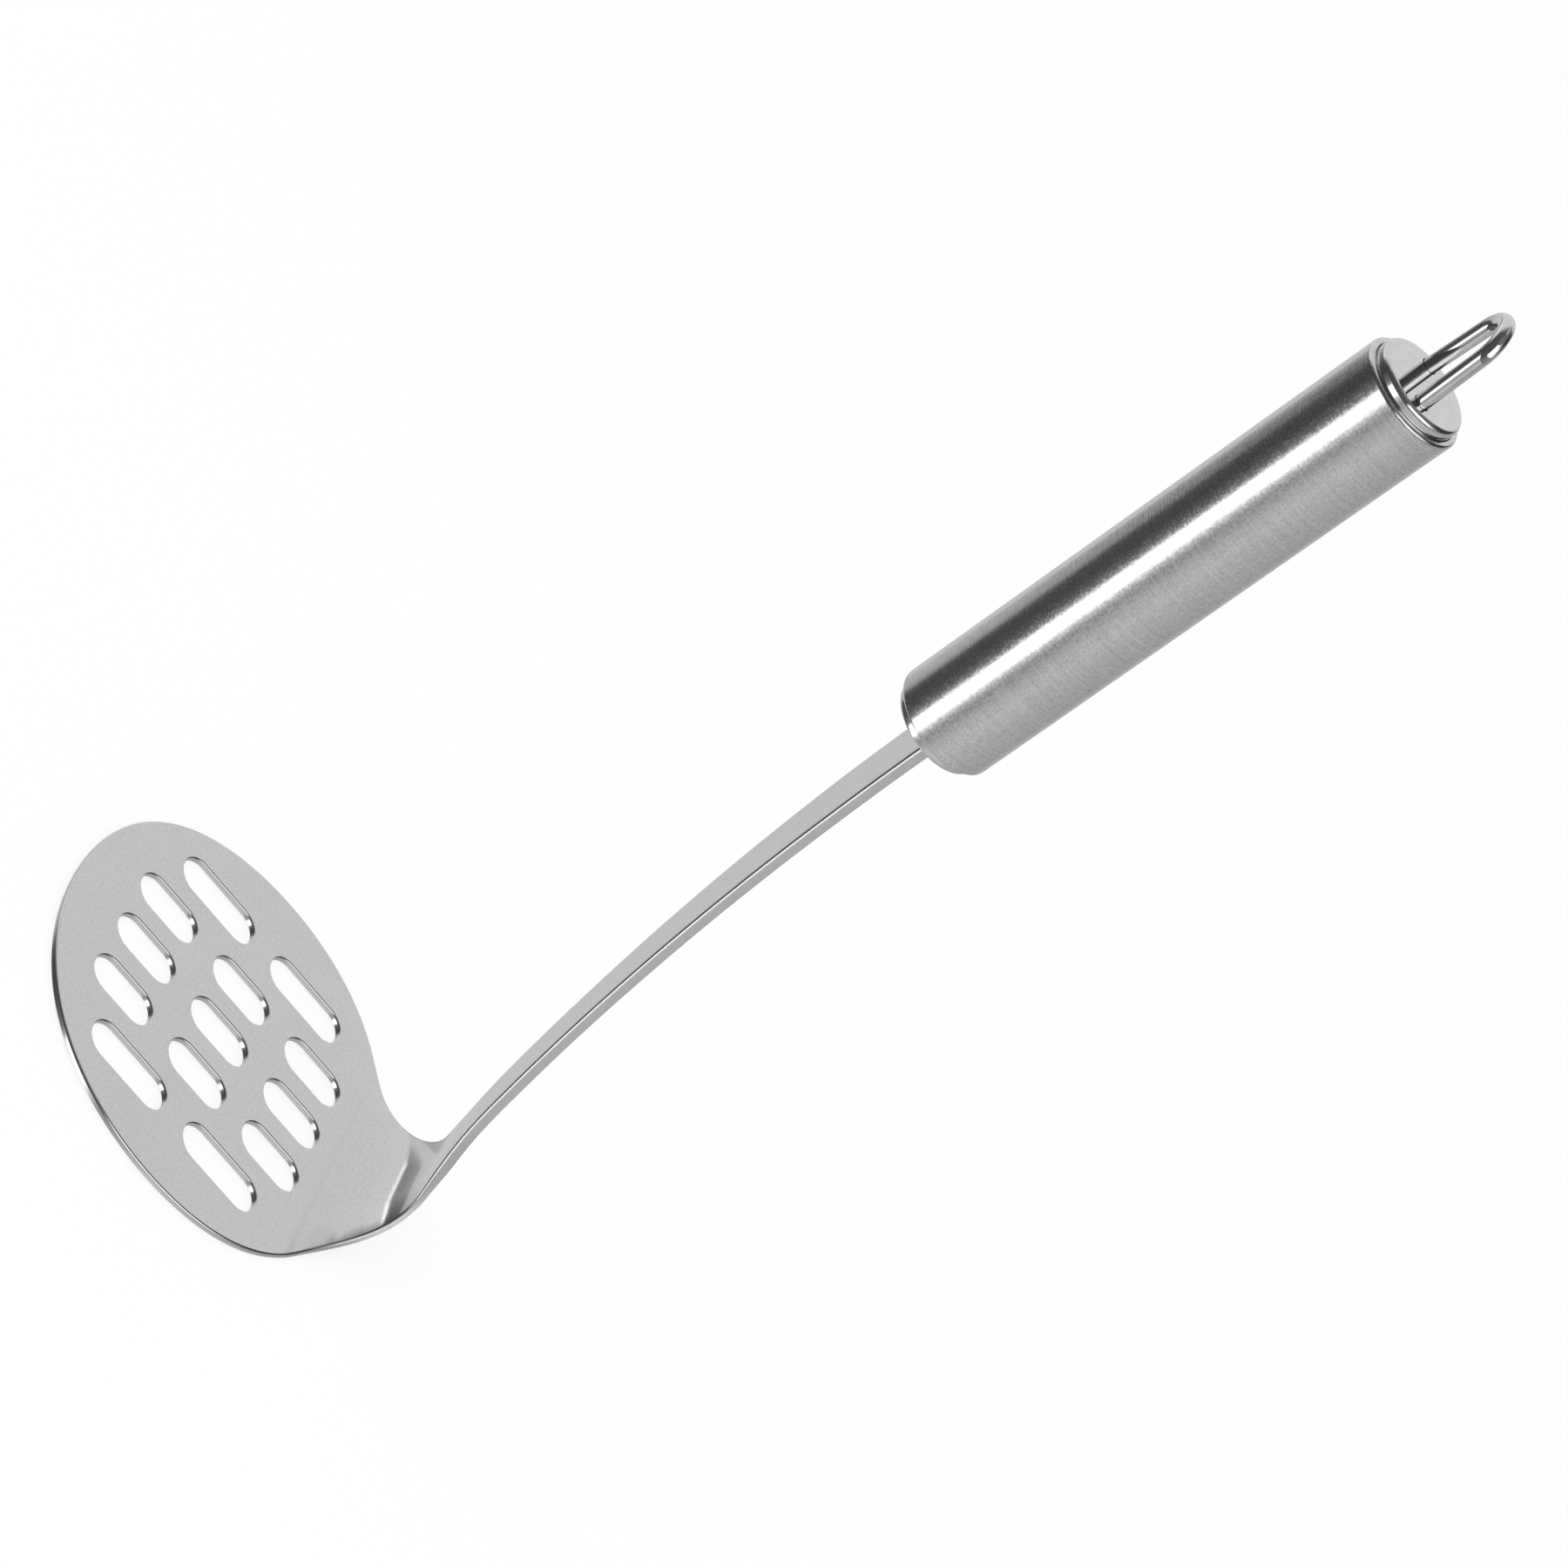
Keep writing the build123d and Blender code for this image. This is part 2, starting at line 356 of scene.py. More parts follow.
@dataclass(frozen=True)
class PolishedSteel(MetalFinish):
    """Stainless steel with a mirror polish and a few handling marks."""

    dark: Colour = (0.60, 0.605, 0.612)
    light: Colour = (0.66, 0.663, 0.668)
    roughness: float = 0.04
    ripple: Pattern = Pattern(240.0, 1.0)
    haze: Pattern = Pattern(900.0, 3.0, 0.6)
    scratches: Pattern = Pattern((5200.0, 700.0, 2900.0))
    scratch_range: Span = (0.62, 0.72)
    shares: Span = (0.6, 0.4)
    haze_roughness: float = 0.03
    scratch_roughness: float = 0.05
    ripple_depth: float = 0.000006

    def paint(self, graph: Graph) -> Values:
        """Add a slight ripple, haze and fine scratches."""
        place = graph.place()
        ripple, haze = graph.noise(place, self.ripple), graph.noise(place, self.haze)
        scratches = graph.noise(place, self.scratches).ramp(*self.scratch_range)
        colour = self.tone(graph, blended((haze, ripple), self.shares))
        rough = self.roughness + (haze - 0.5) * self.haze_roughness + scratches * self.scratch_roughness
        relief = graph.bump(ripple, self.ripple_depth)
        return {"Base Color": colour, "Roughness": rough, "Normal": relief}


@dataclass(frozen=True)
class WeldBead(MetalFinish):
    """Uncleaned stainless weld, dull and slightly straw coloured."""

    name: str = "weld_bead"
    dark: Colour = (0.30, 0.285, 0.27)
    light: Colour = (0.50, 0.48, 0.45)
    roughness: float = 0.42
    ripple: Pattern = Pattern((700.0, 1900.0, 700.0))
    stain: Pattern = Pattern(320.0, 3.0)
    shares: Span = (0.7, 0.3)
    stain_roughness: float = 0.2
    ripple_depth: float = 0.00006

    def paint(self, graph: Graph) -> Values:
        """Add the bead's ripples and heat stain."""
        place = graph.place()
        ripple, stain = graph.noise(place, self.ripple), graph.noise(place, self.stain)
        colour = self.tone(graph, blended((stain, ripple), self.shares))
        rough = self.roughness + (stain - 0.5) * self.stain_roughness
        return {"Base Color": colour, "Roughness": rough, "Normal": graph.bump(ripple, self.ripple_depth)}


# Meshes


class Slot(Enum):
    """Material slot names of the pieces that are built here."""

    BLADE = "blade_steel"
    TUBE = "tube_steel"
    CAP = "cap_steel"
    WIRE = "wire_steel"


def link(name: str, data: bpy.types.ID) -> bpy.types.Object:
    """Put an object with the given data into the scene."""
    obj = bpy.data.objects.new(name, data)
    bpy.context.collection.objects.link(obj)
    return obj


@dataclass
class Skin:
    """A mesh in the making: points with exact normals, faces and notes for the finish."""

    points: list[Vector] = field(default_factory=list)
    normals: list[Vector] = field(default_factory=list)
    faces: list[tuple[int, ...]] = field(default_factory=list)
    notes: dict[str, dict[int, Vector]] = field(default_factory=dict)

    def point(self, place: Vector, normal: Vector, **notes: Vector) -> int:
        """Add one point.

        Args:
            place: Where it is, in millimetres.
            normal: The surface's outward normal there.
            notes: Vectors that the finish reads, by name.

        Returns:
            The point's number.
        """
        self.points.append(place)
        self.normals.append(normal.normalized())
        number = len(self.points) - 1
        for name, value in notes.items():
            self.notes.setdefault(name, {})[number] = value
        return number

    def copy(self, number: int, normal: Vector) -> int:
        """Add a point again with another normal, for a face with a sharp edge."""
        return self.point(self.points[number].copy(), normal)

    def band(self, first: Sequence[int], second: Sequence[int], closed: bool = False) -> None:
        """Join two rows of points with quads.

        Args:
            first: One row.
            second: The next row, with as many points.
            closed: Whether the rows are loops.
        """
        count = len(first)
        for i in range(count if closed else count - 1):
            j = (i + 1) % count
            self.face((first[i], first[j], second[j], second[i]))

    def bands(self, rows: Sequence[Sequence[int]], closed: bool = False) -> None:
        """Join each row of points with the next."""
        for first, second in zip(rows, rows[1:]):
            self.band(first, second, closed)

    def face(self, corners: Sequence[int]) -> None:
        """Add one face, turned so that it looks along its points' normals."""
        a, b, c = (self.points[i] for i in corners[:3])
        normal = (b - a).cross(c - a)
        outward = sum((self.normals[i] for i in corners), Vector())
        self.faces.append(tuple(corners) if normal.dot(outward) >= 0 else tuple(reversed(corners)))

    def fill(self, outline: Sequence[int], holes: Sequence[Sequence[int]]) -> None:
        """Fill an outline parallel to the XY plane that may have holes.

        Its plan is turned first, as edges in one line would give triangles without area.

        Args:
            outline: The outer loop of points.
            holes: The loops of the holes.
        """
        turn = Matrix.Rotation(math.radians(FILL_TURN), 3, "Z")
        loops = [outline, *holes]
        numbers = [number for loop in loops for number in loop]
        for triangle in tessellate_polygon([[turn @ self.points[i] for i in loop] for loop in loops]):
            self.face([numbers[i] for i in triangle])

    def make(self, name: str, place: Matrix) -> bpy.types.Object:
        """Make the Blender object.

        Args:
            name: Its name.
            place: The frame that the points were given in, in millimetres.

        Returns:
            The object, in metres.
        """
        turn = place.to_3x3()
        mesh = bpy.data.meshes.new(name)
        mesh.from_pydata([(place @ p) * MILLIMETRE for p in self.points], [], self.faces)
        for note, values in self.notes.items():
            layer = mesh.attributes.new(note, "FLOAT_VECTOR", "POINT")
            for number, value in values.items():
                layer.data[number].vector = value
        mesh.shade_smooth()
        mesh.normals_split_custom_set_from_vertices([turn @ n for n in self.normals])
        return link(name, mesh)


def dress(obj: bpy.types.Object, material: Material, node: str) -> None:
    """Args:
        obj: The piece.
        material: The finish's material.
        node: The CAD node that the piece stands for.
    """
    obj.data.materials.append(material)
    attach(obj, BODY)
    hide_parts(node)
    log.info("%s: %d points, %d faces", obj.name, len(obj.data.vertices), len(obj.data.polygons))


@dataclass(frozen=True)
class ProfilePoint:
    """One point of a profile, with its normal's part outward and part upward."""

    reach: float
    height: float
    outward: float
    upward: float

    @property
    def edge(self) -> float:
        """Return 1 on a sheet's sheared edge and 0 on its faces."""
        return max(self.outward, 0) ** EDGE_POWER


def round_corner(reach: float, height: float, size: float, turns: Span, steps: int) -> list[ProfilePoint]:
    """Return a rounded corner of a profile.

    Args:
        reach: How far out its centre is.
        height: The height of its centre.
        size: Its radius.
        turns: The normal's first and last angle from outward, in degrees.
        steps: The number of steps.

    Returns:
        The profile's points.
    """
    points = []
    for i in range(steps + 1):
        turn = math.radians(turns[0] + (turns[1] - turns[0]) * i / steps)
        out, up = math.cos(turn), math.sin(turn)
        points.append(ProfilePoint(reach + size * out, height + size * up, out, up))
    return points


def sheet_edge(thickness: float, top: float, bottom: float, steps: int) -> list[ProfilePoint]:
    """Return a sheet's edge from the top round to the underside, its outline at reach 0."""
    upper = round_corner(-top, -top, top, (90, 0), steps)
    return upper + round_corner(-bottom, bottom - thickness, bottom, (0, -90), steps)


def heading(angle: float) -> Vector:
    """Return the unit vector in the XZ plane at an angle from +X, in degrees."""
    return Vector((math.cos(math.radians(angle)), 0, math.sin(math.radians(angle))))


def bearing(turn: float) -> Vector:
    """Return the unit vector in the XY plane at an angle from +X, in radians."""
    return Vector((math.cos(turn), math.sin(turn), 0))


def bearings(count: int) -> list[Vector]:
    """Return unit vectors in the XY plane at equal steps of a full turn."""
    return [bearing(2 * math.pi * i / count) for i in range(count)]


def smooth(share: float) -> float:
    """Return a smooth rise from 0 to 1 while the share rises from 0 to 1."""
    share = min(max(share, 0), 1)
    return share**2 * (3 - 2 * share)


def halve(low: float, high: float, past: Callable[[float], bool]) -> float:
    """Find where a test begins to hold.

    Args:
        low: A value at which it doesn't.
        high: A value at which it does.
        past: The test.

    Returns:
        The value between them.
    """
    for _ in range(HALVINGS):
        middle = (low + high) / 2
        if past(middle):
            high = middle
        else:
            low = middle
    return low


# The blade


class Section(NamedTuple):
    """The rows of points of a section across the blank.

    The upper row runs from -Y to +Y, the lower one back, and the edges from the top down.
    """

    top: list[int]
    left: list[int]
    bottom: list[int]
    right: list[int]


@dataclass
class Blade:
    """The one-piece blade: a slotted round plate, its bent neck, the shank and the tang.

    `sweeps` holds each curve's radius, degrees and side. Where the thickness grows, where
    the curl rises, falls and ends, and how far the fine steps go are shares of the bend.
    """

    plate_radius: float = 44.797
    plate_narrowing: float = 1.1
    plate_shoulder: float = 0.22
    plate_squareness: float = 0.72
    plate_lead: float = 0.83
    plate_thickness: float = 1.3
    slot_width: float = 8.4
    short_slot_length: float = 16.0
    long_slot_length: float = 20.7
    slot_pitch: float = 21.997
    row_pitch: float = 13.901
    long_slot_pitch: float = 26.79
    slot_round: float = 0.4
    slot_under_round: float = 0.15
    rim_round: float = 0.5
    rim_under_round: float = 0.25
    bend_start: float = 33.2864
    sweeps: tuple[tuple[float, float, int], ...] = ((12.8, 112.12, 1), (201.0, 7.18, -1), (836.0, 8.54, -1))
    shank_thickness: float = 2.3
    thickening: Span = (0.8, 1.35)
    curl_slope: float = 0.28
    curl_reach: float = 9.0
    curl_rise: float = 0.4
    curl_fall: float = 0.35
    curl_end: float = 1.2
    fillet_radius: float = 48.0
    waist_width: float = 11.8
    waist_length: float = 29.0
    taper_length: float = 78.0
    shank_width: float = 13.8
    tang_length: float = 14.0
    rim_points: int = 300
    slot_steps: int = 24
    round_steps: int = 5
    across: int = 40
    bend_step: float = 0.75
    bend_step_share: float = 1.3
    shank_step: float = 1.5
    least_step: float = 0.5

    def __post_init__(self) -> None:
        """Work out where the neck's fillet leaves the rim and where the bend ends."""
        self.fillet_y = self.waist_width / 2 + self.fillet_radius
        shoulder = halve(0, 90, lambda angle: self.fillet_centre(angle).y > self.fillet_y)
        self.shoulder_x = self.rim(shoulder).x
        self.fillet_x = self.fillet_centre(shoulder).x
        self.taper_x = self.fillet_x + self.waist_length
        self.lengths = [radius * math.radians(turn) for radius, turn, _ in self.sweeps]
        self.shank_end = sum(self.lengths)
        self.skin = Skin()

    def rim(self, angle: float) -> Vector:
        """Return the plate's outline at an angle from +X."""
        turn = math.radians(angle)
        radius = self.plate_radius - self.plate_narrowing * math.cos(2 * turn)
        radius -= self.plate_shoulder * math.cos(3 * turn) + self.plate_squareness * math.cos(4 * turn)
        return Vector((self.plate_lead, 0, 0)) + bearing(turn) * radius

    def rim_outward(self, angle: float) -> Vector:
        """Return the outline's outward normal at an angle."""
        tangent = (self.rim(angle + RIM_PROBE) - self.rim(angle - RIM_PROBE)).normalized()
        return Vector((tangent.y, -tangent.x, 0))

    def fillet_centre(self, angle: float) -> Vector:
        """Return the centre of a neck fillet that touches the outline at an angle."""
        return self.rim(angle) + self.rim_outward(angle) * self.fillet_radius

    def half_width(self, x: float) -> float:
        """Return half the flat blank's width.

        Args:
            x: The place along the blank.

        Returns:
            Half its width there.
        """
        if x < self.shoulder_x:
            return self.rim(halve(0, 90, lambda angle: self.rim(angle).x < x)).y
        if x < self.fillet_x:
            return self.fillet_y - math.sqrt(self.fillet_radius**2 - (self.fillet_x - x) ** 2)
        widened = min(max((x - self.taper_x) / self.taper_length, 0), 1)
        return (self.waist_width + (self.shank_width - self.waist_width) * widened) / 2

    def slope(self, x: float) -> float:
        """Return how fast the half width grows along the blank."""
        return (self.half_width(x + SLOPE_PROBE) - self.half_width(x - SLOPE_PROBE)) / (2 * SLOPE_PROBE)

    def face_at(self, length: float) -> tuple[Vector, float]:
        """Follow the upper face from the start of the bend.

        Args:
            length: The length along it.

        Returns:
            The point there and its heading in degrees.
        """
        point, angle = Vector((self.bend_start, 0, self.plate_thickness)), 0.0
        for (radius, _, side), whole in zip(self.sweeps, self.lengths):
            travel = max(min(length, whole), 0)
            turn = side * math.degrees(travel / radius)
            left, left_after = heading(angle + 90), heading(angle + turn + 90)
            point = point + (left - left_after) * radius * side
            angle += turn
            length -= travel
        return point + heading(angle) * length, angle

    def thickness_at(self, length: float) -> float:
        """Return the sheet's thickness at a length from the bend's start."""
        start, end = self.thickening
        grown = smooth((length / self.lengths[0] - start) / (end - start))
        return self.plate_thickness + (self.shank_thickness - self.plate_thickness) * grown

    def top_round(self, thickness: float) -> float:
        """Return the upper edge's round, which grows with the sheet's thickness."""
        return self.rim_round * thickness / self.plate_thickness

    def curl(self, flat: Vector) -> float:
        """Return the slope across the sheet to which the bend's sides roll off.

        Args:
            flat: A place on the blank.

        Returns:
            The slope there, which is 0 away from the sides and outside the bend.
        """
        run = (flat.x - self.bend_start) / self.lengths[0]
        share = smooth(min(run / self.curl_rise, (self.curl_end - run) / self.curl_fall))
        if not share:
            return 0.0
        inward = (self.half_width(flat.x) - abs(flat.y)) / self.curl_reach
        return math.copysign(self.curl_slope * share * min(max(1 - inward, 0), 1), flat.y)

    def handle_frame(self) -> Matrix:
        """Return the handle's frame, in millimetres, with Z along the handle."""
        point, angle = self.face_at(self.shank_end)
        x_axis, z_axis = heading(angle - 90), heading(angle)
        turn = Matrix((x_axis, z_axis.cross(x_axis), z_axis)).transposed()
        return Matrix.Translation(point + x_axis * (self.shank_thickness / 2)) @ turn.to_4x4()

    def put(self, flat: Vector, depth: float, normal: Vector, run: float, edge: float) -> int:
        """Add a point of the flat blank, bent into place.

        Args:
            flat: Its place on the blank.
            depth: How far it is below the upper face.
            normal: The flat blank's normal there.
            run: The length along the rim.
            edge: 1 on the sheared edge, 0 on the faces.

        Returns:
            The point's number.
        """
        face, angle = self.face_at(max(flat.x - self.bend_start, 0))
        if flat.x < self.bend_start:
            face = Vector((flat.x, 0, self.plate_thickness))
        up = heading(angle + 90)
        place = face - up * depth + Vector((0, flat.y, 0))
        across = normal.y + self.curl(flat) * normal.z
        turned_normal = heading(angle) * normal.x + Vector((0, across, 0)) + up * normal.z
        blank = Vector((flat.x, flat.y, depth)) * MILLIMETRE
        rim = Vector((run * MILLIMETRE, depth * MILLIMETRE, edge))
        return self.skin.point(place, turned_normal, blank=blank, rim=rim)

    def edge_row(self, flat: Vector, outward: Vector, reach: Vector, run: float) -> list[int]:
        """Add one row of points round the sheet's edge, top to bottom.

        Args:
            flat: The outline's point.
            outward: The outline's normal there.
            reach: The step on the blank for one unit of the profile's reach.
            run: The length along the rim.

        Returns:
            The points' numbers.
        """
        thickness = self.thickness_at(flat.x - self.bend_start)
        rounds = self.top_round(thickness), self.rim_under_round
        row = []
        for point in sheet_edge(thickness, *rounds, self.round_steps):
            normal = outward * point.outward + UP * point.upward
            row.append(self.put(flat + reach * point.reach, -point.height, normal, run, point.edge))
        return row

    def section(self, x: float) -> Section:
        """Add a section across the neck or shank.

        Args:
            x: The place along the blank.

        Returns:
            Its rows of points.
        """
        width, slope = self.half_width(x), self.slope(x)
        wide = math.sqrt(1 + slope**2)
        thickness = self.thickness_at(x - self.bend_start)
        edges = []
        for side in (1, -1):
            outward = Vector((-slope, side, 0)).normalized()
            flat, reach = Vector((x, side * width, 0)), Vector((0, side * wide, 0))
            edges.append(self.edge_row(flat, outward, reach, x))
        rows = []
        faces = ((0.0, self.top_round(thickness), UP), (thickness, self.rim_under_round, -UP))
        for depth, inset, up in faces:
            half = width - inset * wide
            ys = [half * (2 * i / self.across - 1) for i in range(1, self.across)]
            rows.append([self.put(Vector((x, y, 0)), depth, up, x, 0.0) for y in ys])
        left, right = edges
        top, bottom = [right[0], *rows[0], left[0]], [left[-1], *reversed(rows[1]), right[-1]]
        return Section(top, left, bottom, right)

    def bent_part(self) -> Section:
        """Build the neck, shank and tang, and return their first section."""
        bend_end = self.bend_start + self.bend_step_share * self.lengths[0]
        end = self.bend_start + self.shank_end + self.tang_length
        stations, x = [], self.bend_start
        while x < end - self.least_step:
            stations.append(x)
            x += self.bend_step if x < bend_end else self.shank_step
        sections = [self.section(x) for x in (*stations, end)]
        for before, after in zip(sections, sections[1:]):
            for first, second in zip(before, after):
                self.skin.band(first, second)
        self.close_tang(sections[-1])
        return sections[0]

    def close_tang(self, section: Section) -> None:
        """Close the tang's end, which is its last section."""
        out = heading(self.face_at(self.shank_end + self.tang_length)[1])
        numbers = dict.fromkeys(number for row in section for number in row)
        copies = {number: self.skin.copy(number, out) for number in numbers}
        top, left, bottom, right = ([copies[number] for number in row] for row in section)
        self.skin.band(top, bottom[::-1])
        self.skin.face(left)
        self.skin.face(right)

    def slot_loop(self, x: float, y: float, length: float) -> tuple[list[int], list[int]]:
        """Build one slot's wall.

        Args:
            x: The slot's centre along the blank.
            y: Its centre across the blank.
            length: Its overall length.

        Returns:
            Its top loop and its bottom loop.
        """
        radius, straight = self.slot_width / 2, (length - self.slot_width) / 2
        profile = sheet_edge(self.plate_thickness, self.slot_round, self.slot_under_round, self.round_steps)
        rows: list[list[int]] = [[] for _ in profile]
        run = 0.0
        for end in (1, -1):
            for i in range(self.slot_steps + 1):
                away = bearing(math.radians(180 * i / self.slot_steps - 90 * end))
                run += math.pi * radius / self.slot_steps
                for row, point in zip(rows, profile):
                    flat = Vector((x + end * straight, y, 0)) + away * (radius - point.reach)
                    normal = UP * point.upward - away * point.outward
                    row.append(self.put(flat, -point.height, normal, run, point.edge))
        self.skin.bands(rows, closed=True)
        return rows[0], rows[-1]

    def slots(self) -> list[tuple[list[int], list[int]]]:
        """Build all the slots' walls, and return their top loops and bottom loops in pairs."""
        kinds = (
            (self.slot_pitch, self.short_slot_length, (-1, 0, 1), (-1, 0, 1)),
            (self.long_slot_pitch, self.long_slot_length, (-2, 2), (-0.5, 0.5)),
        )
        return [
            self.slot_loop(column * pitch, row * self.row_pitch, length)
            for pitch, length, rows, columns in kinds
            for row in rows
            for column in columns
        ]

    def plate(self, seam: Section) -> None:
        """Build the flat plate up to the bend.

        Args:
            seam: The neck's first section, which the plate shares.
        """
        start = halve(0, 90, lambda angle: self.rim(angle).x < self.bend_start)
        step = (360 - 2 * start) / self.rim_points
        rows, run = [seam.left], 0.0
        for i in range(1, self.rim_points):
            angle = start + step * i
            flat, outward = self.rim(angle), self.rim_outward(angle)
            run += (flat - self.rim(angle - RIM_PROBE)).length / RIM_PROBE * step
            rows.append(self.edge_row(flat, outward, outward, run))
        rows.append(seam.right)
        self.skin.bands(rows)
        tops, bottoms = zip(*self.slots())
        self.skin.fill([row[0] for row in rows] + seam.top[1:-1], tops)
        self.skin.fill([row[-1] for row in rows] + seam.bottom[-2:0:-1], bottoms)

    def build(self, material: Material) -> None:
        """Build and dress the blade, which is left out of mirror reflections, its own too.

        Args:
            material: The sheet's finish.
        """
        self.plate(self.bent_part())
        obj = self.skin.make("slotted_blade", Matrix.Identity(4))
        dress(obj, material, "mashing_blade")
        obj.visible_glossy = False


# The handle


def turned(skin: Skin, profile: Sequence[ProfilePoint], segments: int) -> list[list[int]]:
    """Turn a profile round the Z axis.

    Args:
        skin: The mesh in the making.
        profile: The profile's points.
        segments: The number of segments round the axis.

    Returns:
        One loop of points for each point of the profile.
    """
    loops = []
    for p in profile:
        places = [(away * p.reach + UP * p.height, away) for away in bearings(segments)]
        loops.append([skin.point(place, away * p.outward + UP * p.upward) for place, away in places])
    skin.bands(loops, closed=True)
    return loops


@dataclass
class Handle:
    """The tube handle with its two end caps, in the handle's own frame."""

    place: Matrix
    tube_radius: float = 11.1
    tube_wall: float = 1.3
    tube_length: float = 111.0
    end_round: float = 0.75
    mouth_round: float = 0.3
    cap_clearance: float = 0.05
    stand_out: float = 2.2
    cap_depth: float = 10.0
    cap_wall: float = 1.0
    cap_round: float = 1.0
    shank_width: float = 13.8
    shank_thickness: float = 2.3
    tang_clearance: float = 0.15
    wire_radius: float = 1.5
    leg_clearance: float = 0.15
    loop_pitch: float = 12.2
    loop_lean: float = 4.0
    loop_turn: float = 2.0
    segments: int = 192
    hole_segments: int = 48
    round_steps: int = 8
    mouth_steps: int = 4

    @property
    def length(self) -> float:
        """Return the length over both caps."""
        return 2 * self.stand_out + self.tube_length

    @property
    def cap_radius(self) -> float:
        """Return a cap's outer radius."""
        return self.tube_radius - self.tube_wall - self.cap_clearance

    def leg_centres(self) -> list[Vector]:
        """Return the places of the loop's legs, half way through the rear cap's face."""
        across = bearing(math.radians(self.loop_turn) + math.pi / 2)
        reach = self.loop_pitch / 2 + self.cap_wall / 2 * math.tan(math.radians(self.loop_lean))
        return [across * side * reach for side in (-1, 1)]

    def tube(self) -> Skin:
        """Return the tube, its ends rolled in towards the caps."""
        inner = self.tube_radius - self.tube_wall
        low, high = self.stand_out, self.stand_out + self.tube_length
        r, m = self.end_round, self.mouth_round
        profile = round_corner(inner + m, low + m, m, (180, 270), self.mouth_steps)
        profile += round_corner(self.tube_radius - r, low + r, r, (-90, 0), self.round_steps)
        profile += round_corner(self.tube_radius - r, high - r, r, (0, 90), self.round_steps)
        profile += round_corner(inner + m, high - m, m, (90, 180), self.mouth_steps)
        skin = Skin()
        loops = turned(skin, profile, self.segments)
        skin.band(loops[-1], loops[0], closed=True)
        return skin

    def cup(self, holes: Sequence[Sequence[Vector]]) -> Skin:
        """Build one cap with its face on Z = 0 and its mouth up.

        Args:
            holes: The outlines of the holes through its face.

        Returns:
            The cap.
        """
        skin = Skin()
        r, inside = self.cap_round, self.cap_radius - self.cap_wall
        outer = round_corner(self.cap_radius - r, r, r, (-90, 0), self.round_steps)
        outer.append(ProfilePoint(self.cap_radius, self.cap_depth, 1, 0))
        inner = [ProfilePoint(inside, height, -1, 0) for height in (self.cap_depth, self.cap_wall)]
        face, *_, rim = turned(skin, outer, self.segments)
        mouth, foot = turned(skin, inner, self.segments)
        skin.band(rim, mouth, closed=True)
        floor = [skin.copy(number, UP) for number in foot]
        face_holes, floor_holes = zip(*(self.hole_wall(skin, hole) for hole in holes))
        skin.fill(face, face_holes)
        skin.fill(floor, floor_holes)
        return skin

    def hole_wall(self, skin: Skin, hole: Sequence[Vector]) -> tuple[list[int], list[int]]:
        """Build the wall of one hole through a cap's face.

        Args:
            skin: The cap in the making.
            hole: The hole's outline.

        Returns:
            The loops for the face and for the inside.
        """
        middle = sum(hole, Vector()) / len(hole)
        rows: list[list[int]] = []
        for height, up in ((0.0, -1), (0.0, 0), (self.cap_wall, 0), (self.cap_wall, 1)):
            normals = [UP * up if up else middle - p for p in hole]
            rows.append([skin.point(Vector((p.x, p.y, height)), n) for p, n in zip(hole, normals)])
        skin.band(rows[1], rows[2], closed=True)
        return rows[0], rows[3]

    def front_hole(self) -> list[list[Vector]]:
        """Return the outline of the slot that the shank passes through."""
        x = self.shank_thickness / 2 + self.tang_clearance
        y = self.shank_width / 2 + self.tang_clearance
        return [[Vector((a * x, b * y, 0)) for a, b in ((1, 1), (-1, 1), (-1, -1), (1, -1))]]

    def rear_holes(self) -> list[list[Vector]]:
        """Return the outlines of the two holes for the loop's legs."""
        radius = self.wire_radius + self.leg_clearance
        ring = [away * radius for away in bearings(self.hole_segments)]
        return [[centre + p for p in ring] for centre in self.leg_centres()]

    def build(self, tube_material: Material, cap_material: Material) -> None:
        """Build and dress the tube and its caps.

        Args:
            tube_material: The tube's finish.
            cap_material: The caps' finish.
        """
        dress(self.tube().make("grip_tube", self.place), tube_material, "handle_tube")
        front = self.cup(self.front_hole()).make("front_end_cap", self.place)
        dress(front, cap_material, "front_cap")
        turned_over = Matrix.Translation(UP * self.length) @ Matrix.Rotation(math.pi, 4, "X")
        holes = [[Vector((p.x, -p.y, 0)) for p in hole] for hole in self.rear_holes()]
        rear = self.cup(holes).make("rear_end_cap", self.place @ turned_over)
        dress(rear, cap_material, "rear_cap")


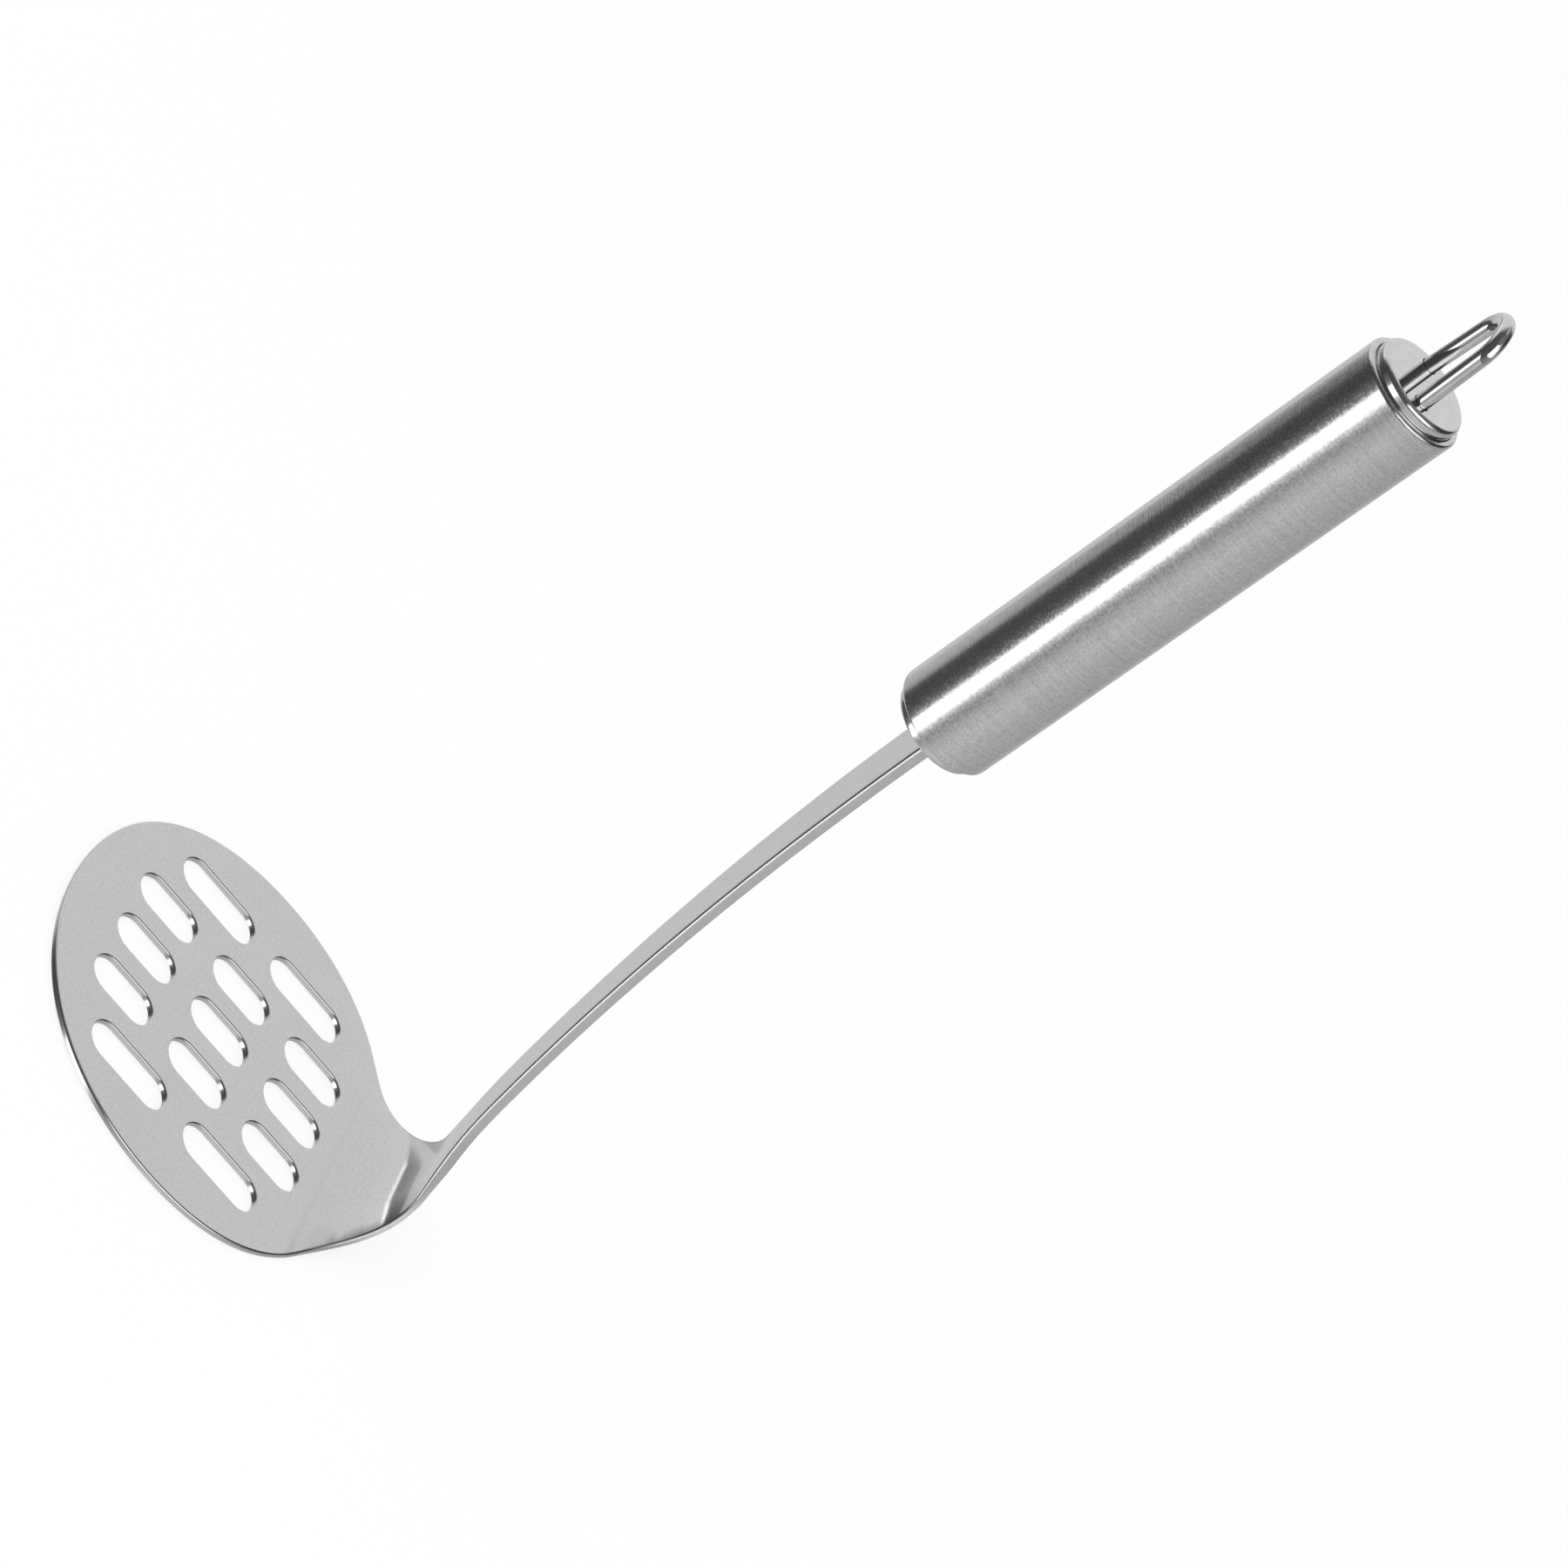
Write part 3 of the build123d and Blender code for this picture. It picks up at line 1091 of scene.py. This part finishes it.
@dataclass
class HangingLoop:
    """The wire loop: two legs that lean together above the rear cap and an arc over the top."""

    handle: Handle
    height: float = 19.29
    leg_reach: float = 3.0
    leg_steps: int = 12
    bend_steps: int = 48
    sides: int = 40

    def path(self) -> list[tuple[Vector, Vector]]:
        """Return the wire's centre line as pairs of point and direction."""
        lean = math.radians(self.handle.loop_lean)
        half, rise = self.handle.loop_pitch / 2, self.height - self.handle.wire_radius
        bend = (half * math.cos(lean) - rise * math.sin(lean)) / (1 - math.sin(lean))
        up = Vector((0, math.sin(lean), math.cos(lean)))
        foot = Vector((0, -half, self.handle.length)) - up * self.leg_reach
        centre = Vector((0, 0, self.handle.length + rise - bend))
        top = centre + Vector((0, -math.cos(lean), math.sin(lean))) * bend
        leg = [(foot.lerp(top, i / self.leg_steps), up) for i in range(self.leg_steps)]
        arc = []
        for i in range(self.bend_steps + 1):
            turn = math.pi - lean - (math.pi - 2 * lean) * i / self.bend_steps
            sine, cosine = math.sin(turn), math.cos(turn)
            arc.append((centre + Vector((0, cosine, sine)) * bend, Vector((0, sine, -cosine))))
        other_leg = [(p * Vector((1, -1, 1)), d * Vector((1, 1, -1))) for p, d in reversed(leg)]
        return leg + arc + other_leg

    def build(self, material: Material) -> None:
        """Build and dress the loop.

        Args:
            material: The wire's finish.
        """
        skin = Skin()
        loops = []
        for point, direction in self.path():
            turn = Matrix((Vector((1, 0, 0)), direction.cross(Vector((1, 0, 0))), direction)).transposed()
            ways = [turn @ away for away in bearings(self.sides)]
            loops.append([skin.point(point + away * self.handle.wire_radius, away) for away in ways])
        skin.bands(loops, closed=True)
        for loop in (loops[0], loops[-1]):
            skin.face([skin.copy(number, -UP) for number in loop])
        turn = Matrix.Rotation(math.radians(self.handle.loop_turn), 4, "Z")
        dress(skin.make("wire_loop", self.handle.place @ turn), material, "hanging_loop")


@dataclass(frozen=True)
class Welds:
    """The weld beads inside the handle, which keep their CAD shape."""

    nodes: tuple[str, ...] = ("tang_weld", "loop_welds")

    def build(self, material: Material) -> None:
        """Give the beads their finish.

        Args:
            material: The beads' finish.
        """
        for name in self.nodes:
            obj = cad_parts[name]
            obj.data.materials.clear()
            obj.data.materials.append(material)
            log.info("%s: kept as the CAD has it", name)


# The studio


@dataclass(frozen=True)
class WallRow:
    """One row of the room's walls, which takes over from the row below it.

    `start` and `full` are the sines of the elevations at which it begins to and has, and
    `greys` pairs azimuths with brightness.
    """

    start: float
    full: float
    greys: tuple[Span, ...]


LOW_WALL = (
    (-180, 0.07), (-150, 0.1), (-100, 0.13), (-90, 0.22), (-45, 0.3), (0, 0.45),
    (45, 0.5), (65, 0.75), (90, 0.88),
)
LOW_WALL_END = ((154, 0.6), (162, 0.25), (172, 0.07), (180, 0.07))
WALLS = (
    WallRow(-1.0, -0.9, (
        (-180, 0.1), (-168, 0.12), (-156, 0.24), (-149, 0.5), (-144, 2.3), (-123, 2.3),
        (-117, 1.05), (-110, 0.58), (-104, 0.42), (-92, 0.52), (-80, 0.66), (-68, 0.78),
        (-57, 0.74), (-45, 0.67), (-22, 0.61), (1, 0.54), (24, 0.49), (40, 0.5),
        (60, 0.62), (81, 0.68), (105, 0.76), (117, 0.74), (129, 0.68), (142, 0.55),
        (148, 0.36), (154, 0.13), (167, 0.1), (180, 0.1),
    )),
    WallRow(-0.55, -0.50, (
        (-180, 0.07), (-156, 0.22), (-149, 0.5), (-144, 2.1), (-125, 2.1), (-117, 0.9),
        (-104, 0.42), (-80, 0.68), (-60, 0.74), (-22, 0.61), (24, 0.49), (60, 0.62),
        (105, 0.76), (111, 0.74), (116, 0.5), (122, 0.44), (134, 0.26), (156, 0.1),
        (180, 0.07),
    )),
    WallRow(-0.22, -0.19, (*LOW_WALL, (127, 0.9), (131, 1.9), (149, 1.9), *LOW_WALL_END)),
    WallRow(-0.155, -0.12, (*LOW_WALL, (148, 0.95), *LOW_WALL_END)),
    WallRow(0.16, 0.28, (
        (-180, 0.09), (-102, 0.11), (-94, 1.7), (-34, 1.7), (-22, 0.55), (-8, 0.16),
        (4, 0.06), (40, 0.06), (50, 0.7), (58, 0.9), (145, 0.9), (156, 0.45),
        (166, 0.12), (180, 0.09),
    )),
    WallRow(0.62, 0.70, (
        (-180, 0.1), (-102, 0.11), (-94, 1.7), (-50, 1.7), (-32, 0.6), (-15, 0.18),
        (4, 0.07), (44, 0.08), (56, 0.3), (72, 0.34), (80, 0.88), (130, 0.8),
        (150, 0.35), (166, 0.12), (180, 0.1),
    )),
    WallRow(0.79, 0.85, (
        (-180, 0.12), (-60, 0.25), (0, 0.14), (50, 0.25), (62, 0.45), (100, 0.5),
        (125, 0.3), (145, 0.14), (180, 0.12),
    )),
)


@dataclass
class Studio:
    """A white room with soft light, a pale floor and the photograph's camera."""

    right: Triple = (0.5988, 0.2209, 0.7699)
    up: Triple = (-0.7343, 0.5353, 0.4175)
    back: Triple = (-0.3199, -0.8153, 0.4827)
    eye: Triple = (-0.31727, -0.83554, 0.62823)
    lens: float = 130.0
    sensor: float = 36.0
    clip: Span = (0.05, 20.0)
    walls: tuple[WallRow, ...] = WALLS
    peak: float = 2.4
    soft_light: float = 0.9
    floor_height: float = -0.0003
    floor_reach: float = 4.0
    floor_grey: float = 0.95
    floor_glow: float = 0.8
    lamp_place: Triple = (-0.4, -0.5, 1.6)
    lamp_aim: Triple = (0, 0, 0.1)
    lamp_size: float = 1.2
    lamp_energy: float = 6.0

    def camera(self) -> None:
        """Set the camera where the photograph was taken from."""
        data = bpy.data.cameras.new("photo_camera")
        data.lens, data.sensor_width = self.lens, self.sensor
        data.clip_start, data.clip_end = self.clip
        obj = link("photo_camera", data)
        turn = Matrix((self.right, self.up, self.back)).transposed()
        obj.matrix_world = Matrix.Translation(self.eye) @ turn.to_4x4()
        bpy.context.scene.camera = obj

    def world(self) -> None:
        """Make the white room, whose walls the metal shows with dark gaps and a bright window."""
        world = bpy.data.worlds.new("white_room")
        bpy.context.scene.world = world
        graph = Graph(world)
        direction = graph.add("TexCoord", output="Generated")
        x, y, z = (graph.part(direction, axis) for axis in range(3))
        around = graph.maths("ARCTAN2", y, x) / (2 * math.pi) + 0.5
        shown = self.wall(graph, around, self.walls[0])
        for row in self.walls[1:]:
            taken = z.ramp(row.start, row.full)
            shown = shown * (1.0 - taken) + self.wall(graph, around, row) * taken
        seen = graph.add("LightPath", output="Is Camera Ray")
        gloss = graph.add("LightPath", output="Is Glossy Ray")
        strength = seen + (1.0 - seen) * (gloss * shown + (1.0 - gloss) * self.soft_light)
        shader = graph.add("Background", {}, {"Color": grey(1.0), "Strength": strength})
        graph.add("OutputWorld", {}, {"Surface": shader})

    def wall(self, graph: Graph, around: Socket, row: WallRow) -> Socket:
        """Return the brightness of one row of walls.

        Args:
            graph: The world's graph.
            around: The share of a full turn, from azimuth -180.
            row: The row.

        Returns:
            Its brightness.
        """
        shown = graph.add("ValToRGB", {}, {"Fac": around})
        elements = shown.output.node.color_ramp.elements
        while len(elements) < len(row.greys):
            elements.new(1.0)
        for element, (azimuth, value) in zip(elements, row.greys):
            element.position = (azimuth + 180) / 360
            element.color = grey(value / self.peak)
        return shown * self.peak

    def floor(self) -> None:
        """Make the pale floor, which shows the object's faint shadow."""
        mesh = bpy.data.meshes.new("floor")
        r, z = self.floor_reach, self.floor_height
        mesh.from_pydata([(-r, -r, z), (r, -r, z), (r, r, z), (-r, r, z)], [], [(0, 1, 2, 3)])
        obj = link("floor", mesh)
        material = bpy.data.materials.new("white_floor")
        graph = Graph(material)
        matt = graph.add("BsdfDiffuse", {}, {"Color": grey(self.floor_grey)})
        glow = graph.add("Emission", {}, {"Color": grey(1.0), "Strength": 1.0})
        seen = graph.add("LightPath", output="Is Camera Ray")
        mixed = graph.add("MixShader", {}, {0: seen * self.floor_glow, 1: matt, 2: glow})
        graph.add("OutputMaterial", {}, {"Surface": mixed})
        mesh.materials.append(material)
        obj.visible_glossy = False

    def lamp(self) -> None:
        """Hang one large soft lamp overhead."""
        data = bpy.data.lights.new("soft_lamp", "AREA")
        data.shape, data.size, data.energy = "DISK", self.lamp_size, self.lamp_energy
        obj = link("soft_lamp", data)
        obj.location = self.lamp_place
        aim = Vector(self.lamp_aim) - obj.location
        obj.rotation_euler = aim.to_track_quat("-Z", "Y").to_euler()
        obj.visible_glossy = False

    def build(self) -> None:
        """Build the whole studio."""
        bpy.context.scene.view_settings.view_transform = "Standard"
        self.camera()
        self.world()
        self.floor()
        self.lamp()


def corners(box: tuple[Vector, Vector]) -> list[list[float]]:
    """Return a box's two corners as plain lists."""
    return [[float(v) for v in corner] for corner in box]


def main() -> None:
    """Build the studio and the masher."""
    logging.basicConfig(level=logging.INFO, format="%(message)s")
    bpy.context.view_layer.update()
    Studio().build()
    blade = Blade()
    blade.build(SatinSheet().make())
    handle = Handle(place=blade.handle_frame())
    axis = (handle.place.to_3x3() @ UP).normalized()
    handle.build(BrushedTube(axis=axis).make(), PolishedSteel(name="polished_cap").make())
    HangingLoop(handle).build(PolishedSteel(name="polished_wire").make())
    Welds().build(WeldBead().make())


if __name__ == "__main__":
    main()
